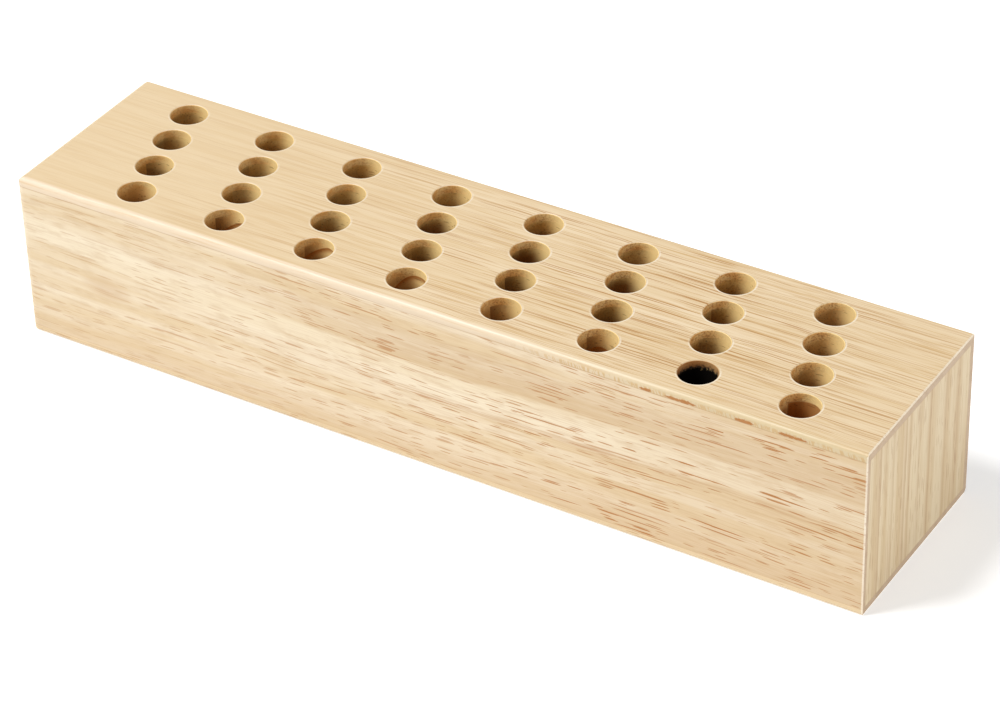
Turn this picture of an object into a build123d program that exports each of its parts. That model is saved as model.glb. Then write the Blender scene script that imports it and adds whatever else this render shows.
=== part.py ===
from build123d import *
import os

# A wooden block that keeps stick-shaped picks upright in slanting columns of bores.
# It is a glued-up core, faced on its four long sides with thin boards and closed by two end panels.
# The core and the top board are bored right through together, and the bottom board closes the bores.
# +X runs along the block, +Y to its rear and +Z up. The origin is the middle of the underside.

# ---- driving dimensions, millimetres ----

LENGTH = 260.0
WIDTH = 60.0
HEIGHT = 50.0

TOP_THICKNESS = 2.4
BOTTOM_THICKNESS = 2.1
FRONT_THICKNESS = 1.6
REAR_THICKNESS = 2.1
END_THICKNESS = 2.1

COLUMNS = 8
ROWS = 4
COLUMN_PITCH = 28.9
ROW_PITCH = 13.25
ROW_SLANT = 3.62  # a row lies this much further to the right than the row behind it
GRID_X = -0.5  # the middle of the bores, measured from the middle of the block
GRID_Y = 0.5
BORE_DIAMETER = 10.5
RIM_BEVEL = 0.25

JOINT_BEHIND_ROW = 2.2  # a glue joint of the core runs this far behind the middle of a row

LEFT_END_ROUND = 3.0
RIGHT_END_BEVEL = 0.35
TOP_REAR_ROUND = 0.8
BOTTOM_REAR_ROUND = 2.5
BOTTOM_FRONT_ROUND = 1.2
TOP_FRONT_ROUND_LEFT = 2.3  # the top front edge is rounded less and less towards the right
TOP_FRONT_ROUND_RIGHT = 1.1

OVERCUT = 0.5  # the sanding cut starts this far outside the block

# ---- places that follow from them ----

LEFT, RIGHT = -LENGTH / 2, LENGTH / 2
FRONT, REAR = -WIDTH / 2, WIDTH / 2
CORE_LEFT, CORE_RIGHT = LEFT + END_THICKNESS, RIGHT - END_THICKNESS
CORE_FRONT, CORE_REAR = FRONT + FRONT_THICKNESS, REAR - REAR_THICKNESS
CORE_BOTTOM, CORE_TOP = BOTTOM_THICKNESS, HEIGHT - TOP_THICKNESS


def row_y(row):
    """The middle line of a row of bores, row 0 being the front one."""
    return GRID_Y + (row - (ROWS - 1) / 2) * ROW_PITCH


def bore_x(row, column):
    """The middle of a bore along the block."""
    slant = ((ROWS - 1) / 2 - row) * ROW_SLANT
    return GRID_X + (column - (COLUMNS - 1) / 2) * COLUMN_PITCH + slant


BORES = [(bore_x(row, column), row_y(row)) for row in range(ROWS) for column in range(COLUMNS)]


def fill(x, y, z):
    """Add the box between the given pairs of limits, cut to the block's eased outline."""
    with Locations((sum(x) / 2, sum(y) / 2, sum(z) / 2)):
        Box(x[1] - x[0], y[1] - y[0], z[1] - z[0])
    add(eased_block.part, mode=Mode.INTERSECT)


def drill_bores():
    """Drill every bore that reaches the part, right through it."""
    with Locations([(x, y, HEIGHT / 2) for x, y in BORES]):
        Cylinder(BORE_DIAMETER / 2, HEIGHT, mode=Mode.SUBTRACT)


# ---- the outline of the whole block, with its eased edges; no piece of its own ----

with BuildPart() as eased_block:
    with BuildSketch(Plane.YZ.offset(LEFT)) as end_outline:
        with Locations((0, HEIGHT / 2)):
            Rectangle(WIDTH, HEIGHT)
        corners = end_outline.vertices()
        fillet(corners.sort_by_distance((REAR, HEIGHT))[0], TOP_REAR_ROUND)
        corners = end_outline.vertices()
        fillet(corners.sort_by_distance((REAR, 0))[0], BOTTOM_REAR_ROUND)
        corners = end_outline.vertices()
        fillet(corners.sort_by_distance((FRONT, 0))[0], BOTTOM_FRONT_ROUND)
    extrude(amount=LENGTH)
    with BuildSketch(Plane.XZ.offset(-REAR)) as side_outline:
        with Locations((0, HEIGHT / 2)):
            Rectangle(LENGTH, HEIGHT)
        fillet(side_outline.vertices().group_by(Axis.X)[0], LEFT_END_ROUND)
        chamfer(side_outline.vertices().group_by(Axis.X)[-1], RIGHT_END_BEVEL)
    extrude(amount=WIDTH, mode=Mode.INTERSECT)
    with BuildSketch() as plan_outline:
        Rectangle(LENGTH, WIDTH)
        fillet(plan_outline.vertices().group_by(Axis.X)[0], LEFT_END_ROUND)
        chamfer(plan_outline.vertices().group_by(Axis.X)[-1], RIGHT_END_BEVEL)
    extrude(amount=HEIGHT, mode=Mode.INTERSECT)


# ---- facing boards ----

with BuildPart() as edge_waste:  # what is sanded off the top board's front edge, as a tapering fillet
    for x, radius in ((LEFT, TOP_FRONT_ROUND_LEFT), (RIGHT, TOP_FRONT_ROUND_RIGHT)):
        with BuildSketch(Plane.YZ.offset(x)):
            with BuildLine():
                corner = (FRONT - OVERCUT, HEIGHT + OVERCUT)
                on_front = (FRONT, HEIGHT - radius)
                on_top = (FRONT + radius, HEIGHT)
                RadiusArc(on_front, on_top, radius)
                Polyline(on_top, (on_top[0], corner[1]), corner, (corner[0], on_front[1]), on_front)
            make_face()
    loft(ruled=True)

with BuildPart() as top_board:
    fill((LEFT, RIGHT), (FRONT, REAR), (CORE_TOP, HEIGHT))
    add(edge_waste.part, mode=Mode.SUBTRACT)
    drill_bores()
    mouths = top_board.edges().filter_by(GeomType.CIRCLE).group_by(Axis.Z)[-1]
    chamfer(mouths.filter_by(lambda edge: edge.is_closed), RIM_BEVEL)

with BuildPart() as bottom_board:
    fill((LEFT, RIGHT), (FRONT, REAR), (0, CORE_BOTTOM))

with BuildPart() as front_board:
    fill((LEFT, RIGHT), (FRONT, CORE_FRONT), (CORE_BOTTOM, CORE_TOP))

with BuildPart() as rear_board:
    fill((LEFT, RIGHT), (CORE_REAR, REAR), (CORE_BOTTOM, CORE_TOP))


# ---- end panels, their grain upright, let in between the boards ----

with BuildPart() as left_end_panel:
    fill((LEFT, CORE_LEFT), (CORE_FRONT, CORE_REAR), (CORE_BOTTOM, CORE_TOP))

with BuildPart() as right_end_panel:
    fill((CORE_RIGHT, RIGHT), (CORE_FRONT, CORE_REAR), (CORE_BOTTOM, CORE_TOP))


# ---- core: staves glued side by side, front to rear, and bored together with the top board ----

STAVE_NAMES = ["core_stave_front", "core_stave_front_middle", "core_stave_rear_middle", "core_stave_rear"]
joints = [row_y(row) + JOINT_BEHIND_ROW for row in range(ROWS - 1)]
stave_limits = list(zip([CORE_FRONT, *joints], [*joints, CORE_REAR]))

pieces = {
    "top_board": top_board,
    "bottom_board": bottom_board,
    "front_board": front_board,
    "rear_board": rear_board,
    "left_end_panel": left_end_panel,
    "right_end_panel": right_end_panel,
}
for stave_name, limits in zip(STAVE_NAMES, stave_limits):
    with BuildPart() as stave:
        fill((CORE_LEFT, CORE_RIGHT), limits, (CORE_BOTTOM, CORE_TOP))
        drill_bores()
    pieces[stave_name] = stave

os.makedirs("parts", exist_ok=True)
for piece_name, piece in pieces.items():
    piece.part.label = piece_name
    export_step(piece.part, f"parts/{piece_name}.step")
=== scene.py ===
import math

import bpy
from mathutils import Matrix, Vector


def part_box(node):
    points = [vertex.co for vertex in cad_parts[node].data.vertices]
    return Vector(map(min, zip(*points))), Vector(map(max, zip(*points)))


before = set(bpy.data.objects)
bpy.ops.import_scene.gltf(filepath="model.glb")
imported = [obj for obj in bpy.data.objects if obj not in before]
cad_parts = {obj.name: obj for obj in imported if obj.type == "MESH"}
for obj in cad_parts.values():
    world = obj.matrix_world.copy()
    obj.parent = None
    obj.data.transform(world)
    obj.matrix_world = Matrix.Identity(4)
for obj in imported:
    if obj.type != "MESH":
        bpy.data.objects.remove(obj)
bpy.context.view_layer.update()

# A wooden block with slanting columns of bores. Every CAD node is shown as it is, in a wood of its own,
# except the two end panels, which share one.
# Colours are given as sRGB bytes, and places inside materials in millimetres of the row frame.

# ---- places that the materials follow ----

LENGTH, WIDTH, HEIGHT = 260.0, 60.0, 50.0
FRONT = -WIDTH / 2
TOP_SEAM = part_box("top_board")[0].z * 1000
BOTTOM_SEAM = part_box("bottom_board")[1].z * 1000
PANEL_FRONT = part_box("right_end_panel")[0].y * 1000
PANEL_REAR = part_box("right_end_panel")[1].y * 1000
COLUMNS, ROWS = 8, 4
COLUMN_PITCH, ROW_PITCH, ROW_SLANT = 28.9, 13.25, 3.62
GRID_X, GRID_Y = -0.5, 0.5
BORE_RADIUS = 5.25
JOINT_BEHIND_ROW = 2.2
SEAM_REACH = 0.25  # how far the stain of a seam reaches into an end panel

# ---- finish ----

WHITE = (1.0, 1.0, 1.0, 1.0)
LIGHT_LEVEL = 1.2  # how far the lights are over full white
RELIEF = 0.00008  # metres
COAT_ROUGHNESS = 0.3
LACQUER_IOR, BARE_IOR = 1.45, 1.2
SHORT_DASH_SEED, LONG_DASH_SEED = 1.7, 4.3


def linear(red, green, blue):
    """An sRGB colour in bytes as the linear colour that sockets take."""
    parts = [c / 255 for c in (red, green, blue)]
    return [c / 12.92 if c <= 0.04045 else ((c + 0.055) / 1.055) ** 2.4 for c in parts] + [1.0]


def tone(red, green, blue):
    """The colour of a wood that looks this sRGB colour under the lights."""
    return [c / LIGHT_LEVEL for c in linear(red, green, blue)[:3]] + [1.0]


class Graph:
    """A material's node tree, with short ways to add the nodes that the woods are made of."""

    def __init__(self, name):
        self.material = bpy.data.materials.new(name)
        self.material.use_nodes = True
        self.tree = self.material.node_tree
        self.tree.nodes.clear()
        coords = self.add("TexCoord")
        scaled = self.add("VectorMath", {0: coords.outputs["Object"], "Scale": 1000.0}, operation="SCALE")
        self.x, self.y, self.z = self.split(scaled.outputs[0])
        self.nx, self.ny, self.nz = self.split(coords.outputs["Normal"])

    def add(self, kind, inputs=None, **settings):
        node = self.tree.nodes.new("ShaderNode" + kind)
        for key, value in settings.items():
            setattr(node, key, value)
        for key, value in (inputs or {}).items():
            if isinstance(value, bpy.types.NodeSocket):
                self.tree.links.new(value, node.inputs[key])
            else:
                node.inputs[key].default_value = value
        return node

    def split(self, vector):
        return self.add("SeparateXYZ", {0: vector}).outputs[:3]

    def join(self, x, y, z):
        return self.add("CombineXYZ", {0: x, 1: y, 2: z}).outputs[0]

    def math(self, operation, a, b=0.0, c=0.0):
        return self.add("Math", {0: a, 1: b, 2: c}, operation=operation).outputs[0]

    def plus(self, a, b):
        return self.math("ADD", a, b)

    def minus(self, a, b):
        return self.math("SUBTRACT", a, b)

    def times(self, *factors):
        product = factors[0]
        for factor in factors[1:]:
            product = self.math("MULTIPLY", product, factor)
        return product

    def size(self, a):
        return self.math("ABSOLUTE", a)

    def above(self, value, start, end):
        """0 below start rising smoothly to 1 at end; start may be the larger of the two."""
        limits = {"Value": value, "From Min": start, "From Max": end}
        return self.add("MapRange", limits, interpolation_type="SMOOTHSTEP").outputs[0]

    def scaled(self, value, low, high, to_low, to_high):
        limits = {"Value": value, "From Min": low, "From Max": high, "To Min": to_low, "To Max": to_high}
        return self.add("MapRange", limits).outputs[0]

    def near(self, value, centre, half, soft):
        """1 within half of centre, fading out over soft."""
        away = self.size(self.minus(value, centre))
        return self.above(away, half + soft, half)

    def equals(self, value, whole):
        """1 where a value that is always a whole number is this one."""
        return self.near(value, whole, 0.2, 0.2)

    def noise(self, vector, detail=2.0, roughness=0.5):
        inputs = {"Vector": vector, "Scale": 1.0, "Detail": detail, "Roughness": roughness}
        return self.add("TexNoise", inputs).outputs[0]

    def cells(self, vector):
        """(distance to the nearest cell's point, that cell's random number)"""
        node = self.add("TexVoronoi", {"Vector": vector, "Scale": 1.0})
        return node.outputs["Distance"], self.split(node.outputs["Color"])[0]

    def mix(self, factor, a, b):
        inputs = {0: factor, 6: a, 7: b}
        return self.add("Mix", inputs, data_type="RGBA", clamp_factor=True).outputs[2]

    def surface(self, colour, roughness, height, bump=0.35, coat=0.0, ior=LACQUER_IOR, glow=0.0):
        """Ends the tree in a shader; height, from 0 to 1, raises the surface by up to RELIEF."""
        bumped = self.add("Bump", {"Height": height, "Strength": bump, "Distance": RELIEF})
        inputs = {
            "Base Color": colour,
            "Roughness": roughness,
            "Normal": bumped.outputs[0],
            "IOR": ior,
            "Coat Weight": coat,
            "Coat Roughness": COAT_ROUGHNESS,
            "Emission Color": WHITE,
            "Emission Strength": glow,
        }
        shader = self.add("BsdfPrincipled", inputs)
        output = self.add("OutputMaterial")
        self.tree.links.new(shader.outputs[0], output.inputs[0])
        return self.material


# ---- what the woods share ----

def grain(g, along, across, deep, seed, warp, warp_length, warp_width):
    """Grain coordinates: across and deep wander slowly along the grain, with a finer ripple."""
    start = g.plus(along, seed * 37.0)

    def drift(length, width):
        return g.minus(g.noise(stretched(g, (start, across, deep), length, width), detail=1.0), 0.5)

    shift = g.plus(g.times(drift(warp_length, warp_width), warp), g.times(drift(16.0, 5.0), 0.7))
    return g.plus(along, seed * 61.0), g.plus(across, shift), g.plus(deep, g.times(shift, 0.4))


def stretched(g, coords, length, width, seed=0.0):
    """A texture place whose cells are this long along the grain and this wide across it, in millimetres."""
    along, across, deep = coords
    start = g.plus(g.math("DIVIDE", along, length), seed)
    return g.join(start, g.math("DIVIDE", across, width), g.math("DIVIDE", deep, width))


def dashes(g, coords, length, width, reach, seed, share=1.0):
    """Vessel lines: long thin lens-shaped marks, 1 inside each mark.

    reach is the widest mark's radius in cells, and share is how many of the cells have a mark."""
    along, across, deep = coords
    stagger = g.noise(g.join(g.times(across, 0.35), g.times(deep, 0.35), seed), detail=1.0)
    staggered = (g.plus(along, g.times(stagger, 2.0 * length)), across, deep)
    distance, chance = g.cells(stretched(g, staggered, length, width, seed))
    radius = g.math("MAXIMUM", g.scaled(chance, 1.0 - share, 1.0, 0.0, reach), 0.001)
    return g.above(g.math("DIVIDE", distance, radius), 1.0, 0.75)


def end_pores(g, a, b, seed):
    """Dots where vessels meet a cut across the grain."""
    distance, chance = g.cells(g.join(g.plus(g.times(a, 1.9), seed), g.times(b, 1.9), seed))
    return g.times(g.above(distance, 0.34, 0.12), g.above(chance, 0.35, 0.6))


def nearest_bore(g):
    """Where a point lies among the bores: how far from the nearest one's axis, and its column and row."""

    def nearest(place, pitch, count):
        """The number of the nearest of some evenly spaced lines, and how far past it the place is."""
        middle = (count - 1) / 2
        number = g.math("ROUND", g.plus(g.math("DIVIDE", place, pitch), middle))
        number = g.math("MINIMUM", g.math("MAXIMUM", number, 0.0), count - 1.0)
        return number, g.minus(place, g.times(g.minus(number, middle), pitch))

    row, dy = nearest(g.minus(g.y, GRID_Y), ROW_PITCH, ROWS)
    slant = g.times(g.minus((ROWS - 1) / 2, row), ROW_SLANT)
    column, dx = nearest(g.minus(g.minus(g.x, GRID_X), slant), COLUMN_PITCH, COLUMNS)
    distance = g.math("SQRT", g.plus(g.times(dx, dx), g.times(dy, dy)))
    return distance, dx, dy, column, row


def bore_number(g, column, row, seed):
    """A random number from 0 to 1 for each bore."""
    node = g.add("TexWhiteNoise", {"Vector": g.join(column, row, seed)}, noise_dimensions="3D")
    return node.outputs["Value"]


def charred(g, column, row):
    """(scorched, black) in the front row's one charred bore; the black has a ragged upper edge."""
    bore = g.times(g.equals(column, COLUMNS - 2.0), g.equals(row, 0.0))
    place = g.join(g.times(g.x, 1.2), g.times(g.y, 1.2), g.times(g.z, 0.9))
    ragged = g.noise(place, detail=4.0, roughness=0.7)
    level = g.plus(g.z, g.times(g.minus(ragged, 0.5), 4.0))
    return bore, g.times(bore, g.above(level, TOP_SEAM + 1.5, TOP_SEAM - 0.3))


# ---- colours ----

TOP_PALE = tone(237, 215, 180)
TOP_GOLD = tone(229, 204, 164)
TOP_STREAK = tone(206, 168, 112)
TOP_DASH = tone(184, 134, 76)
FRONT_PALE = tone(238, 220, 190)
FRONT_BRIGHT = tone(244, 229, 200)
FRONT_GOLD = tone(226, 201, 160)
FRONT_BROWN = tone(208, 177, 134)
FRONT_STREAK = tone(198, 158, 112)
FRONT_DASH = tone(182, 120, 52)
EDGE_PALE = tone(229, 209, 182)
EDGE_GOLD = tone(212, 192, 152)
SEAM_BROWN = tone(178, 134, 88)
STREAK_BROWN = tone(176, 108, 24)
END_PALE = tone(219, 199, 162)
END_GOLD = tone(206, 180, 138)
END_LINE = tone(182, 146, 104)
END_PORE = tone(172, 132, 92)
CUT_END = tone(198, 171, 140)
CUT_END_DARK = tone(178, 148, 114)
CUT_END_PORE = tone(150, 118, 86)
# painted highlight along the eased arrises of board ends
ARRIS_HIGHLIGHT = linear(252, 246, 232)
# painted highlight on the front right side of the bore mouths' rims
RIM_HIGHLIGHT = tone(248, 236, 214)
WALL_PALE = tone(255, 216, 146)
WALL_TAN = tone(244, 188, 110)
WALL_BROWN = tone(158, 92, 38)
CHAR = tone(14, 9, 6)
# painted light on the lit side of the bores
WALL_LIT = linear(255, 226, 158)
# dark brown of the wood in some bores, and painted shade deep in the bores
WALL_DEEP_BROWN_AND_SHADE = tone(112, 50, 10)
WALL_PEACH = tone(246, 196, 132)
WALL_OLIVE = tone(150, 114, 56)
WALL_ORANGE = tone(172, 98, 26)
SCORCH = tone(170, 98, 38)


def glue_line(g, colour, seam):
    """Darkens a seam, more in some stretches than in others, where lacquer has gathered in it."""
    strength = g.scaled(g.noise(g.join(g.times(g.x, 0.05), 0.0, 3.0)), 0.3, 0.7, 0.15, 0.8)
    return g.mix(g.times(seam, strength), colour, SEAM_BROWN)


def cut_end(g, colour, a, b, seed):
    """Puts end grain where a board's end shows, with a painted highlight along its eased arrises."""
    pores = end_pores(g, a, b, seed)
    cloud = g.noise(g.join(g.times(a, 0.25), g.times(b, 0.25), seed), detail=3.0)
    end = g.mix(g.scaled(cloud, 0.3, 0.7, 0.0, 0.8), CUT_END, CUT_END_DARK)
    end = g.mix(g.times(pores, 0.5), end, CUT_END_PORE)
    facing = g.size(g.nx)
    from_end = g.minus(LENGTH / 2, g.size(g.x))
    cut = g.times(g.above(facing, 0.8, 0.95), g.above(from_end, 1.2, 0.8))
    colour = g.mix(cut, colour, end)
    arris_highlight = g.times(g.above(facing, 0.3, 0.5), g.above(facing, 0.95, 0.85), g.above(from_end, 0.6, 0.4))
    return g.mix(g.times(arris_highlight, 0.4), colour, ARRIS_HIGHLIGHT)


def board_wood(name, coords_of, seed, pale, gold, crisp):
    """A facing board of planed and lacquered rubberwood, with its vessel lines as strong as crisp says."""
    g = Graph(name)
    along, across, deep = coords_of(g)
    coords = grain(g, along, across, deep, seed, 5.0, 95.0, 26.0)
    bands = g.noise(stretched(g, coords, 190.0, 6.5), detail=3.0, roughness=0.55)
    colour = g.mix(g.above(bands, 0.38, 0.66), pale, gold)
    fibres = g.noise(stretched(g, coords, 30.0, 0.4, 3.0), detail=3.0)
    colour = g.mix(g.times(g.above(fibres, 0.5, 0.78), 0.5), colour, FRONT_STREAK)
    short = dashes(g, coords, 9.0, 0.62, 0.36, SHORT_DASH_SEED)
    long = dashes(g, coords, 26.0, 0.7, 0.3, LONG_DASH_SEED)
    marks = g.math("MAXIMUM", short, long)
    colour = g.mix(g.times(marks, crisp), colour, FRONT_DASH)
    colour = cut_end(g, colour, across, deep, seed)
    height = g.minus(g.times(fibres, 0.3), marks)
    return g.surface(colour, g.scaled(fibres, 0.2, 0.8, 0.46, 0.56), height, coat=0.08)


def planed_relief(g, fibres, marks):
    """Planed wood's relief: its fibres stand up a little and its vessel lines are sunk."""
    return g.minus(g.times(fibres, 0.3), g.times(marks, 0.8))


def bored_wall(g):
    """The colour of a bore's drilled wall, which is unlacquered, and furrier towards the right."""
    place = g.join(g.times(g.x, 1.7), g.times(g.y, 1.7), g.times(g.z, 2.0))
    fuzz = g.noise(place, detail=4.0, roughness=0.65)
    patch = g.noise(g.join(g.times(g.x, 0.12), g.times(g.y, 0.3), g.times(g.z, 0.5)), detail=2.0)
    wall = g.mix(g.above(patch, 0.35, 0.65), WALL_PALE, WALL_TAN)
    furry = g.scaled(g.x, -60.0, 40.0, 0.3, 0.65)
    return g.mix(g.times(g.above(fuzz, 0.46, 0.62), furry), wall, WALL_BROWN)


def across_bore(g, dx, dy):
    """How far a point of a bore's wall lies towards the rear right, from -BORE_RADIUS to BORE_RADIUS."""
    return g.plus(g.times(dx, 0.84), g.times(dy, 0.54))


# ---- top board ----

def top_wood():
    g = Graph("top_board_wood")
    coords = grain(g, g.x, g.y, g.z, 1.0, 2.6, 90.0, 30.0)
    bands = g.noise(stretched(g, coords, 210.0, 5.0), detail=3.0, roughness=0.6)
    colour = g.mix(g.above(bands, 0.36, 0.66), TOP_PALE, TOP_GOLD)
    crisp = g.scaled(g.x, -80.0, 60.0, 0.6, 1.0)
    fibres = g.noise(stretched(g, coords, 38.0, 0.55, 3.0), detail=2.0)
    colour = g.mix(g.times(g.above(fibres, 0.5, 0.66), crisp, 0.25), colour, TOP_STREAK)
    fine = g.noise(stretched(g, coords, 26.0, 0.26, 8.0), detail=1.0)
    colour = g.mix(g.times(g.above(fine, 0.53, 0.62), crisp, 0.8), colour, TOP_STREAK)
    long = dashes(g, coords, 80.0, 0.5, 0.5, SHORT_DASH_SEED, share=0.7)
    short = dashes(g, coords, 34.0, 0.46, 0.5, LONG_DASH_SEED, share=0.7)
    marks = g.math("MAXIMUM", long, short)
    wide = g.noise(stretched(g, coords, 34.0, 1.3, 14.0), detail=2.0)
    left_third = g.above(g.x, 0.0, -60.0)
    colour = g.mix(g.times(g.above(wide, 0.45, 0.68), left_third, 0.6), colour, TOP_STREAK)
    patches = g.noise(stretched(g, coords, 60.0, 4.0, 9.0), detail=2.0)
    strength = g.scaled(patches, 0.35, 0.6, 0.45, 1.0)
    colour = g.mix(g.times(marks, strength, crisp), colour, TOP_DASH)
    # golder towards both ends; towards the left-hand end this darkening is painted shade
    gold_and_shade_at_ends = g.plus(g.times(g.above(g.x, 70.0, 130.0), 0.25), g.times(g.above(g.x, 20.0, -110.0), 0.75))
    colour = g.mix(gold_and_shade_at_ends, colour, TOP_GOLD)

    # the rounded front edge, sanded through to paler wood
    edge = g.above(g.ny, -0.1, -0.35)
    edge_fibres = g.noise(stretched(g, coords, 24.0, 0.6, 7.0), detail=2.0)
    edge_colour = g.mix(g.above(g.x, 0.0, 100.0), EDGE_PALE, EDGE_GOLD)
    edge_colour = g.mix(g.times(g.above(edge_fibres, 0.52, 0.68), 0.35), edge_colour, TOP_STREAK)
    colour = g.mix(g.times(edge, 0.9), colour, edge_colour)

    # leaning ticks and tapering brown streaks along its lower side, towards the right-hand end
    right_third = g.above(g.x, 20.0, 50.0)
    leaning = g.plus(g.x, g.times(g.z, 0.35))
    ticks = g.noise(g.join(g.times(leaning, 1.9), g.times(g.z, 0.4), 5.0), detail=1.0)
    low = g.above(g.z, TOP_SEAM + 1.6, TOP_SEAM + 1.0)
    colour = g.mix(g.times(edge, right_third, low, g.above(ticks, 0.46, 0.56), 0.75), colour, TOP_STREAK)
    ragged = g.noise(g.join(g.times(g.x, 0.9), g.z, 2.0), detail=4.0, roughness=0.7)
    ragged = g.times(g.minus(ragged, 0.5), 1.6)
    for start, end in ((66.0, 70.0), (73.0, 83.0), (93.0, 99.0), (105.0, 114.0)):
        from_middle = g.math("DIVIDE", g.minus(g.x, (start + end) / 2), (end - start) / 2)
        from_level = g.math("DIVIDE", g.plus(g.minus(g.z, TOP_SEAM + 0.5), ragged), 0.55)
        away = g.plus(g.times(from_middle, from_middle), g.times(from_level, from_level))
        colour = g.mix(g.times(edge, g.above(away, 1.0, 0.6), 0.9), colour, STREAK_BROWN)

    seam = g.times(g.above(g.z, TOP_SEAM + 0.22, TOP_SEAM), g.above(g.ny, -0.2, -0.6))
    colour = glue_line(g, colour, seam)

    # bore mouths, with a painted highlight on the front right side of their rim, and the wall through the
    # board
    distance, dx, dy, column, row = nearest_bore(g)
    rim_highlight = g.times(g.near(distance, BORE_RADIUS + 0.42, 0.1, 0.22), g.above(g.nz, 0.9, 0.97))
    highlight_side = g.above(g.minus(g.times(dx, 0.6), g.times(dy, 0.8)), -2.5, 2.5)
    colour = g.mix(g.times(rim_highlight, highlight_side, crisp, 0.7), colour, RIM_HIGHLIGHT)
    inside = g.above(distance, BORE_RADIUS + 0.12, BORE_RADIUS + 0.04)
    side = across_bore(g, dx, dy)
    # painted shade on the side of the wall away from the key light, and painted light on the side that it
    # falls on
    wall = g.mix(g.times(g.above(side, 3.0, -2.0), 0.25), bored_wall(g), WALL_BROWN)
    wall = g.mix(g.times(g.above(side, 0.0, 4.5), 0.85), wall, WALL_LIT)
    scorched, black = charred(g, column, row)
    wall = g.mix(g.times(scorched, 0.7), wall, SCORCH)
    wall = g.mix(black, wall, CHAR)
    colour = g.mix(inside, colour, wall)

    colour = cut_end(g, colour, g.y, g.z, 1.0)
    roughness = g.math("MAXIMUM", g.scaled(fibres, 0.2, 0.8, 0.44, 0.54), g.times(inside, 0.8))
    return g.surface(colour, roughness, planed_relief(g, fibres, marks), coat=0.1)


# ---- front board ----

def front_wood():
    g = Graph("front_board_wood")
    coords = grain(g, g.x, g.z, g.y, 2.0, 7.0, 120.0, 30.0)
    depth = g.minus(HEIGHT, coords[1])
    bands = g.noise(stretched(g, coords, 160.0, 6.0), detail=3.0, roughness=0.55)
    colour = g.mix(g.above(bands, 0.4, 0.62), FRONT_PALE, FRONT_GOLD)
    right = g.above(g.x, -70.0, 0.0)

    # a brown zone along the upper part and a bright band below it, which sinks a little towards the right
    brown = g.times(g.near(depth, 12.5, 3.0, 3.0), right, g.scaled(bands, 0.3, 0.7, 0.5, 1.0))
    colour = g.mix(g.times(brown, 0.75), colour, FRONT_BROWN)
    bright_depth = g.scaled(g.x, -125.0, -60.0, 15.5, 20.5)
    bright = g.near(depth, bright_depth, 2.4, 1.8)
    colour = g.mix(g.times(bright, 0.65), colour, FRONT_BRIGHT)

    colour = g.mix(g.times(g.above(g.x, 10.0, 130.0), 0.4), colour, FRONT_BROWN)
    colour = g.mix(g.times(g.above(depth, 34.0, 50.0), 0.6), colour, FRONT_BROWN)
    mottle = g.noise(stretched(g, coords, 9.0, 2.2, 5.0), detail=3.0, roughness=0.6)
    colour = g.mix(g.times(g.above(mottle, 0.45, 0.7), 0.4), colour, FRONT_BROWN)
    fibres = g.noise(stretched(g, coords, 24.0, 0.5, 3.0), detail=2.0)
    crisp = g.scaled(g.x, -110.0, 60.0, 0.35, 1.0)
    colour = g.mix(g.times(g.above(fibres, 0.5, 0.66), crisp, 0.2), colour, FRONT_STREAK)
    fine = g.noise(stretched(g, coords, 14.0, 0.28, 8.0), detail=1.0)
    colour = g.mix(g.times(g.above(fine, 0.55, 0.64), crisp, 0.3), colour, FRONT_STREAK)

    # fine lines along the lower side of the bright band
    rim = g.times(g.near(g.minus(depth, bright_depth), 5.2, 0.7, 0.6), right)
    lines = g.noise(stretched(g, coords, 22.0, 0.35, 12.0), detail=1.0)
    colour = g.mix(g.times(rim, g.above(lines, 0.42, 0.6), 0.5), colour, FRONT_STREAK)

    # a soft oval blotch near the left-hand end
    blotch_x = g.math("DIVIDE", g.plus(g.x, 101.0), 9.0)
    blotch_z = g.math("DIVIDE", g.minus(depth, 27.0), 4.5)
    away = g.plus(g.times(blotch_x, blotch_x), g.times(blotch_z, blotch_z))
    blotch = g.above(g.plus(away, g.times(mottle, 1.6)), 1.9, 0.6)
    colour = g.mix(g.times(blotch, 0.35), colour, FRONT_STREAK)

    short = dashes(g, coords, 8.0, 0.52, 0.5, SHORT_DASH_SEED, share=0.65)
    long = dashes(g, coords, 24.0, 0.55, 0.5, LONG_DASH_SEED, share=0.5)
    patches = g.noise(stretched(g, coords, 40.0, 5.0, 9.0), detail=2.0)
    marks = g.math("MAXIMUM", short, long)
    colour = g.mix(g.times(marks, g.scaled(patches, 0.35, 0.6, 0.5, 1.0), crisp), colour, FRONT_DASH)
    top_seam = g.above(g.z, TOP_SEAM - 0.2, TOP_SEAM)
    bottom_seam = g.above(g.z, BOTTOM_SEAM + 0.15, BOTTOM_SEAM)
    colour = glue_line(g, colour, g.math("MAXIMUM", top_seam, bottom_seam))
    colour = cut_end(g, colour, g.y, g.z, 2.0)
    roughness = g.scaled(fibres, 0.2, 0.8, 0.44, 0.54)
    return g.surface(colour, roughness, planed_relief(g, fibres, marks), coat=0.1)


# ---- end panels ----

# (place from the front face, strength) of the growth rings on the end panels
END_RINGS = (
    (7.7, 0.8),
    (15.0, 0.6),
    (22.0, 0.8),
    (24.5, 0.6),
    (30.0, 0.4),
    (36.0, 0.7),
    (45.0, 0.5),
    (52.0, 0.5),
)


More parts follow.
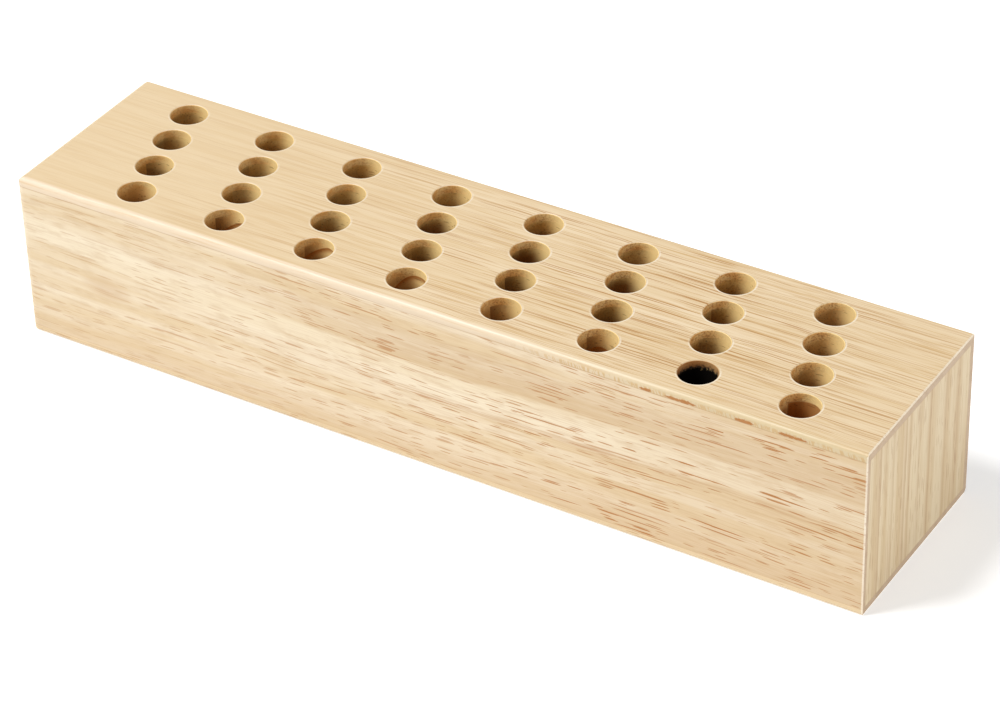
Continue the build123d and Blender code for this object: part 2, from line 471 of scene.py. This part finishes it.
def end_wood():
    g = Graph("end_panel_wood")
    coords = grain(g, g.z, g.y, g.x, 3.0, 1.2, 60.0, 25.0)
    bands = g.noise(stretched(g, coords, 120.0, 4.5), detail=3.0)
    colour = g.mix(g.above(bands, 0.38, 0.64), END_PALE, END_GOLD)

    # growth rings as upright lines, each darkening slowly from the front and ending sharply
    from_front = g.minus(coords[1], FRONT)
    for place, strength in END_RINGS:
        past = g.minus(from_front, place)
        late = g.times(g.above(past, -3.5, 0.0), g.above(past, 0.3, 0.0))
        late = g.plus(g.times(late, 0.2), g.times(g.math("POWER", late, 5.0), 0.55))
        colour = g.mix(g.times(late, strength), colour, END_LINE)

    marks = dashes(g, coords, 7.0, 0.55, 0.45, SHORT_DASH_SEED, share=0.7)
    colour = g.mix(g.times(marks, 0.5), colour, END_PORE)
    fibres = g.noise(stretched(g, coords, 20.0, 0.45, 3.0), detail=2.0)
    colour = g.mix(g.times(g.above(fibres, 0.5, 0.68), 0.35), colour, END_LINE)

    # seams round the panel
    seam = g.above(g.z, TOP_SEAM - SEAM_REACH, TOP_SEAM)
    seam = g.math("MAXIMUM", seam, g.above(g.z, BOTTOM_SEAM + SEAM_REACH, BOTTOM_SEAM))
    seam = g.math("MAXIMUM", seam, g.above(g.y, PANEL_FRONT + SEAM_REACH, PANEL_FRONT))
    seam = g.math("MAXIMUM", seam, g.above(g.y, PANEL_REAR - SEAM_REACH, PANEL_REAR))
    colour = g.mix(g.times(seam, 0.5), colour, SEAM_BROWN)
    roughness = g.scaled(fibres, 0.2, 0.8, 0.48, 0.58)
    return g.surface(colour, roughness, planed_relief(g, fibres, marks), coat=0.06)


# ---- core, seen only inside the bores ----

# (column, level below the top board, lean, bend) of the orange rings in the front row of bores
ORANGE_RINGS = (
    (0.0, 4.2, 0.2, -0.1),
    (1.0, 3.8, 0.65, 0.0),
    (2.0, 1.8, 0.45, 0.0),
    (3.0, 0.9, 0.5, -0.07),
    (5.0, 3.4, 0.0, -0.13),
)


def core_wood(name, seed, light, mid, dark):
    g = Graph(name)
    dx, dy, column, row = nearest_bore(g)[1:]
    front_row, last_column = g.equals(row, 0.0), g.equals(column, COLUMNS - 1.0)
    chance = bore_number(g, column, row, seed)
    other = bore_number(g, column, row, seed + 5.0)
    coords = grain(g, g.x, g.y, g.z, seed, 4.0, 30.0, 12.0)
    bands = g.noise(stretched(g, coords, 40.0, 4.0), detail=3.0)
    colour = g.mix(g.above(g.plus(bands, g.times(g.minus(chance, 0.5), 0.5)), 0.35, 0.65), light, mid)
    colour = g.mix(0.45, colour, bored_wall(g))
    below = g.minus(TOP_SEAM, g.z)
    side = across_bore(g, dx, dy)

    # the bores of the two middle rows are browner and more olive towards the middle of the block
    middle_rows = g.near(row, 1.5, 0.6, 0.3)
    murk = g.times(g.near(column, 3.5, 1.8, 1.6), g.plus(0.2, g.times(middle_rows, 0.8)))
    murk = g.times(murk, g.scaled(chance, 0.0, 1.0, 0.3, 0.7), g.above(below, -1.0, 2.0))
    colour = g.mix(murk, colour, WALL_OLIVE)

    # an inclined ring crosses most bores and shows as an arch on the wall, dark along its upper edge
    tilt = g.times(dx, g.scaled(other, 0.0, 1.0, -0.7, 0.1))
    arch = g.plus(g.minus(below, g.scaled(chance, 0.0, 1.0, -0.5, 6.0)), tilt)
    late = g.times(g.above(arch, -0.7, 0.7), g.above(arch, 5.0, 0.3))
    colour = g.mix(g.times(late, g.scaled(other, 0.2, 0.9, 0.1, 0.5)), colour, dark)

    # dark brown wood in the middle of the second row from the rear, paler in the last column and front row
    brown = g.times(g.equals(row, 2.0), g.near(column, 4.0, 1.0, 1.2), g.above(below, -0.5, 3.0))
    colour = g.mix(g.times(brown, 0.55), colour, WALL_DEEP_BROWN_AND_SHADE)
    colour = g.mix(g.times(last_column, 0.4), colour, WALL_PEACH)
    colour = g.mix(g.times(front_row, 0.4), colour, WALL_PEACH)

    # the wood behind a glue joint is darker just past the joint
    past_joint = g.minus(dy, JOINT_BEHIND_ROW)
    just_past = g.times(g.above(past_joint, -0.05, 0.05), g.above(past_joint, 3.0, 0.2))
    has_joint = g.above(row, 2.6, 2.4)
    wedge = g.times(just_past, has_joint, g.above(side, 1.0, -1.0), g.above(other, 0.3, 0.8))
    colour = g.mix(g.times(wedge, 0.6), colour, dark)

    # painted light on the side of each bore that the key light falls on, and painted shade deeper down and
    # on the side away from it
    colour = g.mix(g.times(g.above(side, 0.0, 4.5), 0.85), colour, WALL_LIT)
    deep = g.above(g.minus(below, g.times(side, 0.3)), 0.0, 7.0)
    colour = g.mix(g.times(deep, 0.65), colour, WALL_DEEP_BROWN_AND_SHADE)

    # orange rings in the front row, sharp along their upper edge, and one bore with a brown heart
    for place, level, lean, bend in ORANGE_RINGS:
        past = g.plus(g.minus(below, level), g.plus(g.times(side, lean), g.times(side, side, bend)))
        ring = g.times(g.above(past, -0.2, 0.1), g.above(past, 2.2, 0.2), g.above(below, -0.1, 0.3))
        colour = g.mix(g.times(ring, front_row, g.equals(column, place), 0.85), colour, WALL_ORANGE)
    heart = g.times(front_row, last_column, g.above(below, 0.0, 0.5))
    colour = g.mix(g.times(heart, g.above(side, -2.8, -2.4), 0.8), colour, WALL_ORANGE)

    marks = dashes(g, coords, 4.0, 0.6, 0.4, SHORT_DASH_SEED)
    colour = g.mix(g.times(marks, 0.4), colour, dark)
    colour = g.mix(charred(g, column, row)[1], colour, CHAR)
    place = g.join(g.times(g.x, 1.4), g.times(g.y, 1.4), g.times(g.z, 0.7))
    rough = g.noise(place, detail=4.0, roughness=0.7)
    height = g.minus(g.times(rough, 0.8), g.times(marks, 0.5))
    return g.surface(colour, 0.8, height, bump=0.4, ior=BARE_IOR)


def flat_grain(g):
    """Along, across and deep for a board that lies flat."""
    return g.x, g.y, g.z


def upright_grain(g):
    """Along, across and deep for a board that stands on its long edge."""
    return g.x, g.z, g.y


end_material = end_wood()
woods = {
    "top_board": top_wood(),
    "front_board": front_wood(),
    "rear_board": board_wood("rear_board_wood", upright_grain, 4.0, FRONT_PALE, FRONT_GOLD, 0.6),
    "bottom_board": board_wood("bottom_board_wood", flat_grain, 6.0, FRONT_GOLD, FRONT_BROWN, 0.5),
    "left_end_panel": end_material,
    "right_end_panel": end_material,
    "core_stave_front": core_wood(
        "core_pale_front", 1.0, tone(234, 200, 140), tone(218, 172, 104), tone(150, 84, 34)),
    "core_stave_front_middle": core_wood(
        "core_brown", 2.0, tone(224, 184, 118), tone(196, 148, 82), tone(112, 64, 26)),
    "core_stave_rear_middle": core_wood(
        "core_grey", 3.0, tone(206, 176, 122), tone(176, 144, 92), tone(96, 68, 36)),
    "core_stave_rear": core_wood(
        "core_pale_rear", 4.0, tone(224, 190, 126), tone(198, 156, 90), tone(116, 76, 34)),
}
for node_name, material in woods.items():
    for material_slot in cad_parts[node_name].material_slots:
        material_slot.material = material


# ---- floor, lights and world ----

def plane(name, size):
    mesh = bpy.data.meshes.new(name)
    half = size / 2
    corners = [(-half, -half, 0), (half, -half, 0), (half, half, 0), (-half, half, 0)]
    mesh.from_pydata(corners, [], [(0, 1, 2, 3)])
    made = bpy.data.objects.new(name, mesh)
    bpy.context.scene.collection.objects.link(made)
    return made


FLOOR_SIZE = 8.0
FLOOR_GLOW = 0.46  # lifts the floor to the photo's white, and leaves a soft shadow
WORLD_STRENGTH = 0.34

floor = plane("floor", FLOOR_SIZE)
floor_white = Graph("floor_white").surface(linear(220, 220, 220), 0.9, 0.0, bump=0.0, glow=FLOOR_GLOW)
floor.data.materials.append(floor_white)


def area_light(name, place, aim, size, power):
    lamp = bpy.data.lights.new(name, "AREA")
    lamp.shape = "DISK"
    lamp.size = size
    lamp.energy = power
    made = bpy.data.objects.new(name, lamp)
    made.location = place
    made.rotation_mode = "QUATERNION"
    made.rotation_quaternion = (Vector(aim) - Vector(place)).to_track_quat("-Z", "Y")
    bpy.context.scene.collection.objects.link(made)


area_light("key_light", place=(-1.0, -0.83, 2.25), aim=(0.0, 0.0, 0.02), size=0.9, power=73.0)
area_light("end_light", place=(1.5, -0.3, 0.3), aim=(0.13, 0.0, 0.02), size=0.6, power=9.0)

world = bpy.data.worlds.new("studio")
world.use_nodes = True
background = world.node_tree.nodes["Background"]
background.inputs["Color"].default_value = WHITE
background.inputs["Strength"].default_value = WORLD_STRENGTH
bpy.context.scene.world = world
bpy.context.scene.view_settings.view_transform = "Standard"

# ---- camera ----

CAMERA_PLACE = (0.44115, -0.68463, 0.58508)
AZIMUTH, ELEVATION, ROLL = math.radians(32.42), math.radians(34.89), math.radians(-1.776)
LENS, SENSOR_WIDTH = 133.3, 36.0  # millimetres
CLIP_START = 0.05

camera = bpy.data.objects.new("camera", bpy.data.cameras.new("camera"))
camera.data.lens = LENS
camera.data.sensor_width = SENSOR_WIDTH
camera.data.clip_start = CLIP_START
level = Vector((math.cos(AZIMUTH), math.sin(AZIMUTH), 0.0))
outward = Vector((math.sin(AZIMUTH), -math.cos(AZIMUTH), 0.0))
back = math.cos(ELEVATION) * outward + Vector((0.0, 0.0, math.sin(ELEVATION)))
right = math.cos(ROLL) * level + math.sin(ROLL) * back.cross(level)
turn = Matrix((right, back.cross(right), back)).transposed().to_4x4()
camera.matrix_world = Matrix.Translation(CAMERA_PLACE) @ turn
bpy.context.scene.collection.objects.link(camera)
bpy.context.scene.camera = camera
